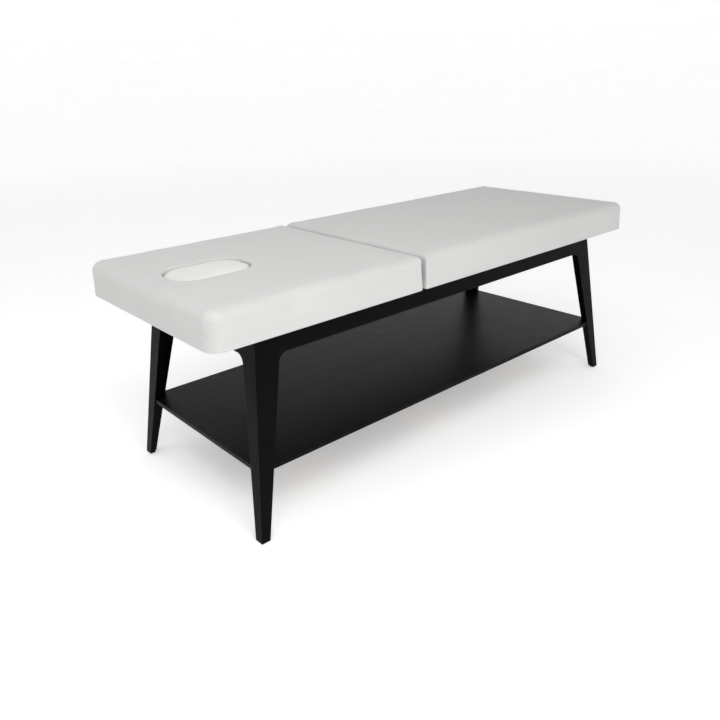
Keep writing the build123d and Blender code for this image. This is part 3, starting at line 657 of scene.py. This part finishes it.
# ------------------------------------------------------------------------------------------ floor and light
floor_net = Net("studio_floor")
clouds = floor_net.noise(floor_net.place, 3.0, 3.0)
floor_tone = floor_net.ramp(clouds, (0.90, 0.90, 0.90), (0.915, 0.915, 0.915))
floor_net.finish(colour=floor_tone, rough=0.7, spec=0.0)
floor_net.shader.inputs["Emission Color"].default_value = (1, 1, 1, 1)
floor_net.shader.inputs["Emission Strength"].default_value = 0.274
FLOOR_RADIUS, COVE_RADIUS, WALL_TOP, SIDES = 9.0, 3.0, 6.0, 96
sweep = [(0.5, 0), (3.0, 0), (FLOOR_RADIUS, 0)]
sweep += [(FLOOR_RADIUS + COVE_RADIUS * math.sin(a), COVE_RADIUS * (1 - math.cos(a)))
          for a in np.linspace(0, math.pi / 2, 13)[1:]]
sweep.append((FLOOR_RADIUS + COVE_RADIUS, WALL_TOP))
cove = Shape()
turns = np.arange(SIDES) / SIDES * 2 * math.pi
cove_rows = [cove.row(np.stack([r * np.cos(turns), r * np.sin(turns)], 1), z) for r, z in sweep]
cove.rings(cove_rows)
cove.fan(cove_rows[0], (0, 0, 0))
floor = make_object("studio_floor", cove.points, cove.faces)
floor.data.materials.append(floor_net.material)

world = bpy.data.worlds.new("studio")
scene.world = world
world.use_nodes = True
world.node_tree.nodes["Background"].inputs["Color"].default_value = (1, 1, 1, 1)
world.node_tree.nodes["Background"].inputs["Strength"].default_value = 0.605


def soft_box(name, place, target, size, power, spread):
    """A round area light that faces its target."""
    data = bpy.data.lights.new(name, "AREA")
    data.shape, data.size, data.energy, data.spread = "DISK", size, power, math.radians(spread)
    lamp = bpy.data.objects.new(name, data)
    scene.collection.objects.link(lamp)
    lamp.location = place
    lamp.rotation_euler = (Vector(target) - Vector(place)).to_track_quat("-Z", "Y").to_euler()


soft_box("key", (-1.1, -2.3, 2.9), (-0.75, -0.1, 0.6), 1.5, 3.9, 75)
soft_box("near_left", (-1.8, -1.6, 2.6), (-0.6, 0, 0.6), 1.5, 18.5, 180)
soft_box("near_low", (-0.6, -2.6, 1.8), (-0.5, 0, 0.6), 1.2, 13.5, 180)
soft_box("head_high", (-1.4, 0.2, 2.4), (-0.5, 0, 0.6), 1.2, 6.1, 180)

# ------------------------------------------------------------------------------------------ camera
AZIMUTH, ELEVATION, ROLL = math.radians(-41.466), math.radians(23.002), math.radians(-1.522)
EYE = Vector((-1.608, -1.6328, 1.1618))
FOCAL_PIXELS, IMAGE_PIXELS = 671.07, 720
level = math.cos(ELEVATION)
back = Vector((math.sin(AZIMUTH) * level, -math.cos(AZIMUTH) * level, math.sin(ELEVATION)))
right = Vector((math.cos(AZIMUTH), math.sin(AZIMUTH), 0))
up = back.cross(right)
turned_right = math.cos(ROLL) * right + math.sin(ROLL) * up
turned_up = -math.sin(ROLL) * right + math.cos(ROLL) * up
camera_data = bpy.data.cameras.new("camera")
camera_data.sensor_width = 36
camera_data.lens = 36 * FOCAL_PIXELS / IMAGE_PIXELS
camera = bpy.data.objects.new("camera", camera_data)
scene.collection.objects.link(camera)
facing = Matrix((turned_right, turned_up, back)).transposed().to_4x4()
camera.matrix_world = Matrix.Translation(EYE) @ facing
scene.camera = camera
scene.view_settings.view_transform = "Standard"
